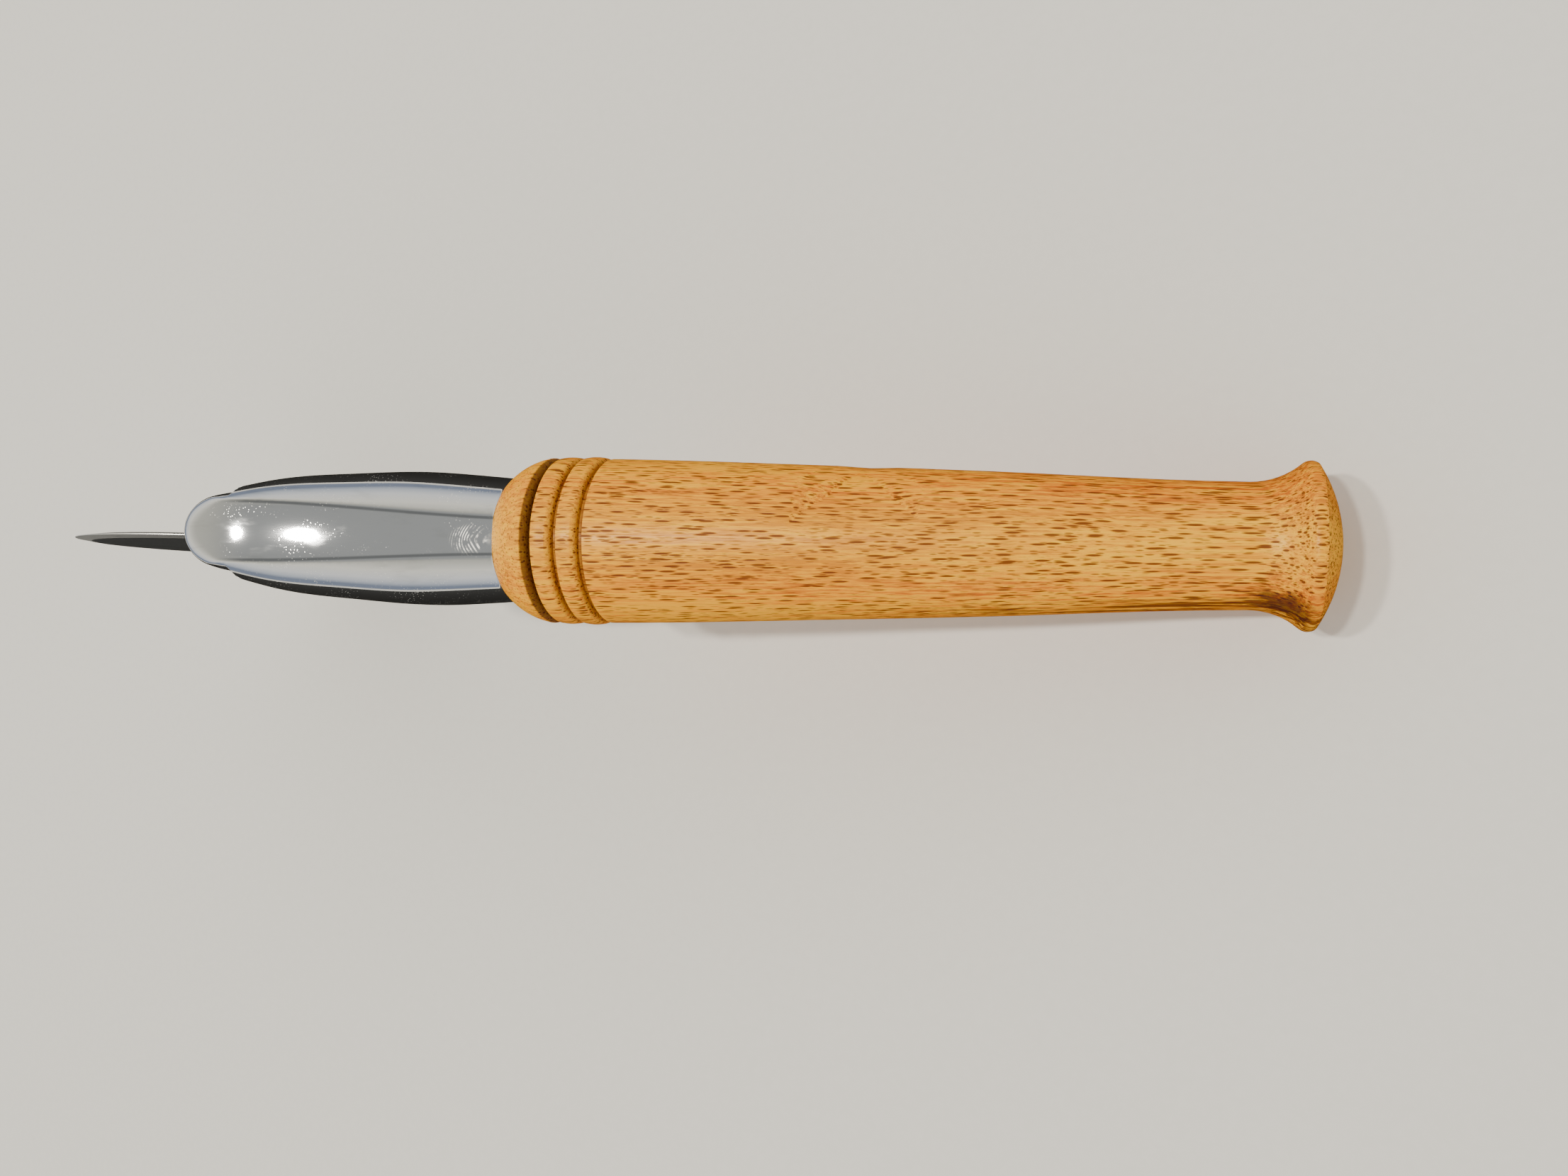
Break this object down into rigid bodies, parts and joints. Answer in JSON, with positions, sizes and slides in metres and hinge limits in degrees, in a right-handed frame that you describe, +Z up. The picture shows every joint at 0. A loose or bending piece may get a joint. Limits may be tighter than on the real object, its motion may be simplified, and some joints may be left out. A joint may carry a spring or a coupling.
{
  "type": "wheel cutter",
  "caption": "Hand-held wheel cutter: turned wooden handle, chrome-plated forked head with a long thumb rest, and a thin bevelled steel wheel on an axle.",
  "frame": {"origin": "on the handle's axis, half way along the wooden handle, where a hand holds it", "axes": "+X along the handle's axis towards the wheel, +Y along the wheel's axle, +Z up towards the side of the thumb rest"},
  "size_m": [0.2184, 0.0262, 0.073],
  "materials": {
    "turned_wood": "oiled and polished, satin gloss",
    "chrome_plate": "bright plated",
    "wheel_steel": "fine circular grind",
    "bush_brass": "machined",
    "insert_brass": "machined",
    "stud_steel": "zinc plated",
    "axle_steel": "polished",
    "washer_plastic": "moulded"
  },
  "bodies": {
    "cutter_body": {"handle": "turned_wood", "threaded_insert": "insert_brass", "head_stud": "stud_steel", "cutter_head": "chrome_plate", "washer_left": "washer_plastic", "washer_right": "washer_plastic", "axle_sleeve_nut": "axle_steel", "axle_screw": "axle_steel"},
    "wheel": {"cutting_wheel": "wheel_steel", "wheel_bush": "bush_brass"}
  },
  "joints": [
    {"name": "wheel_spin", "type": "hinge", "parent": "cutter_body", "child": "wheel", "pos_m": [0.1266, 0, -0.0226], "axis": [0, 1, 0], "continuous": true}
  ]
}
